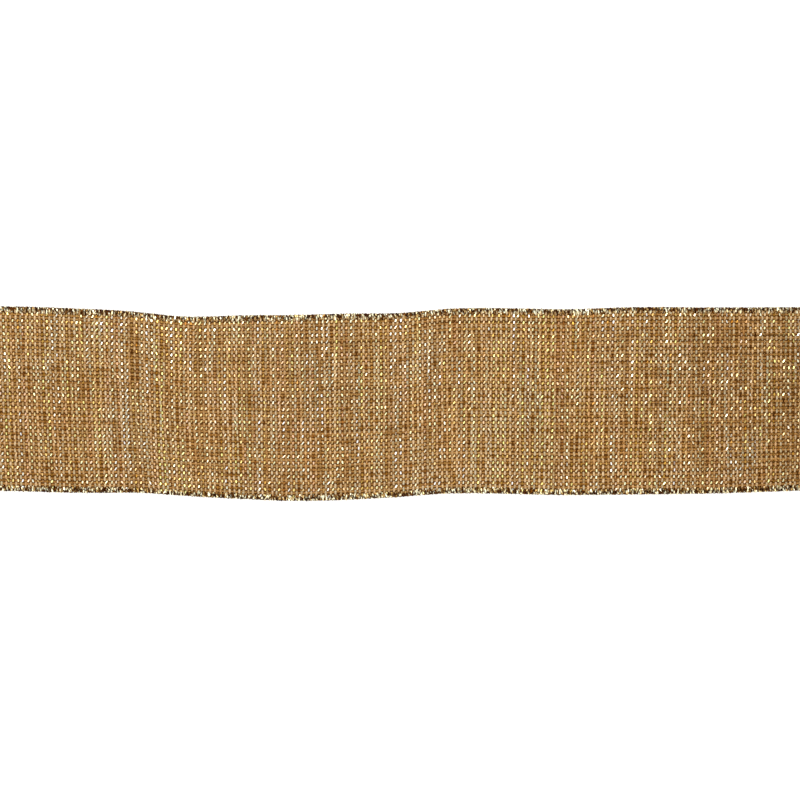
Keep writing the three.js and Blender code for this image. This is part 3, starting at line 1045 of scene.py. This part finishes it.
def build_flange(side_name, sign, board, face_paper):
    """A flange's board and the paper on its face."""
    seed = 90 + sign
    outline = mirrored(flange_outline(), sign)
    flange = turned(f"{side_name}_flange_board", outline, board, uneven=FLANGE_WAVE, seed=seed)
    place(flange, "spool", "grey_board", f"{side_name}_flange")
    paper_radius = node_box("rear_face_paper")[1][2] - AXLE[2]
    outline = mirrored(ring_outline("rear_face_paper", paper_radius, PAPER_EDGE), sign)
    paper = turned(f"{side_name}_paper_face", outline, face_paper, uneven=PAPER_WAVE, seed=seed + 5)
    place(paper, "spool", "face_paper", f"{side_name}_face_paper")


def build_hub(side_name, sign, plastic):
    """A hub cap."""
    cap = turned(f"{side_name}_hub", mirrored(hub_outline(), sign), plastic, segments=HUB_SEGMENTS)
    cut_slots(cap, node_box("rear_hub_cap")[0][1], sign)
    place(cap, "spool", "hub_plastic", f"{side_name}_hub_cap")


def build_spool():
    board = fibre_board_material("grey_board", rgb(0.42, 0.33, 0.23), rgb(0.27, 0.20, 0.13), 1.0)
    kraft = fibre_board_material("tube_paper", rgb(0.36, 0.24, 0.13), rgb(0.22, 0.14, 0.07), 0.7)
    cream, deep_cream = rgb(0.62, 0.55, 0.43), rgb(0.53, 0.46, 0.34)
    face_paper = paper_material("face_paper", cream, deep_cream, 0.38, PRINTED_RINGS)
    plastic = moulded_material("hub_plastic", rgb(0.66, 0.645, 0.60), rgb(0.60, 0.57, 0.49))
    label = paper_material("label_paper", rgb(0.74, 0.74, 0.72), rgb(0.67, 0.67, 0.65), 0.3)
    tape = paper_material("tape_film", rgb(0.72, 0.62, 0.38), rgb(0.62, 0.52, 0.30), 0.25)
    for side_name, sign in (("front", -1), ("rear", 1)):
        build_flange(side_name, sign, board, face_paper)
        build_hub(side_name, sign, plastic)
    outline = ring_outline("core_tube", TUBE_OUTER, TUBE_EDGE)
    tube = turned("paper_tube", outline, kraft, segments=HUB_SEGMENTS)
    place(tube, "spool", "tube_paper", "core_tube")
    for node, material in (("blank_label", label), ("anchor_tape", tape)):
        frame["nodes"][node].material_slots[0].material = material


# ---------------------------------------------------------------- camera, floor and light

VIEW_CENTRE = (-54.5, 0.0)
CAMERA_HEIGHT = 457.7  # above the ribbon
MEAN_RIBBON_HEIGHT = 4.0
LENS = 60
FLOOR_HALF = 6000.0
FLOOR_GLOW = 0.35  # emission, which evens out the floor's shade


def add_camera():
    """A camera straight above the free end, with the spool just outside its view."""
    camera = bpy.data.objects.new("camera", bpy.data.cameras.new("camera"))
    camera.data.lens = LENS
    camera.data.sensor_width = 36
    camera.data.clip_start = 0.01
    camera.location = Vector((*VIEW_CENTRE, MEAN_RIBBON_HEIGHT + CAMERA_HEIGHT)) * MM
    bpy.context.scene.collection.objects.link(camera)
    bpy.context.scene.camera = camera


def add_floor():
    m = Nodes("floor")
    m.set(Base_Color=rgb(0.93, 0.93, 0.93), Roughness=0.9)
    m.set(Emission_Color=rgb(1, 1, 1), Emission_Strength=FLOOR_GLOW)
    corners = np.array([(-1, -1, 0), (1, -1, 0), (1, 1, 0), (-1, 1, 0)]) * FLOOR_HALF
    mesh = mesh_from("floor", corners, np.arange(4), np.array([4]))
    finish_piece("floor", mesh, m.material, 180)


LIGHT_AIM = Vector((0.05, 0, 0))


def add_area_light(name, location, size, power):
    """A square light; its place and size are metres and its power is watts."""
    light = bpy.data.lights.new(name, "AREA")
    light.shape = "SQUARE"
    light.size = size
    light.energy = power
    lamp = bpy.data.objects.new(name, light)
    lamp.location = location
    lamp.rotation_euler = (LIGHT_AIM - lamp.location).to_track_quat("-Z", "Y").to_euler()
    bpy.context.scene.collection.objects.link(lamp)


def add_light():
    """An even white surround with two soft lights over the ribbon."""
    world = bpy.data.worlds.new("studio")
    world.use_nodes = True
    background = world.node_tree.nodes["Background"]
    background.inputs["Color"].default_value = rgb(1, 1, 1)
    background.inputs["Strength"].default_value = 1.0
    bpy.context.scene.world = world
    add_area_light("key", (-0.15, 0.55, 1.0), 0.5, 5)
    add_area_light("fill", (-0.1, -0.65, 0.9), 0.6, 3)
    bpy.context.scene.view_settings.view_transform = "Standard"


# ---------------------------------------------------------------- assembly


def build_ribbon():
    """The free end with its last turn on the ribbon's body, and the wound turns on the spool's."""
    tan = yarn_material("tan_yarn", rgb(0.72, 0.57, 0.40), rgb(0.45, 0.295, 0.12), 0.02)
    brown = yarn_material("brown_yarn", rgb(0.52, 0.30, 0.10), rgb(0.23, 0.09, 0.014), 0.01)
    dark = yarn_material("dark_core", rgb(0.10, 0.05, 0.018), rgb(0.04, 0.018, 0.006), 0.0)
    tinsel = tinsel_material("tinsel", 0.32)
    shade_coat = build_gap_shade_coat(gap_shade_coat_material())
    warps = build_warps(brown)
    tans = build_tan_picks(tan)
    tinsels = build_tinsel_picks(tinsel)
    for piece in warps + tans + tinsels:
        place(piece, "ribbon", "ribbon_weave")
    place(shade_coat, "ribbon", "ribbon_weave", "ribbon_cloth")
    edges = []
    for side_name, sign in (("front", -1), ("rear", 1)):
        thread = tinsel_material(f"{side_name}_thread", 0.35)
        edges += build_border(side_name, sign, dark, thread, steel_material())
    build_wound(brown, tinsel_material("wound_thread", 0.4))


add_camera()
add_floor()
add_light()
build_ribbon()
build_spool()
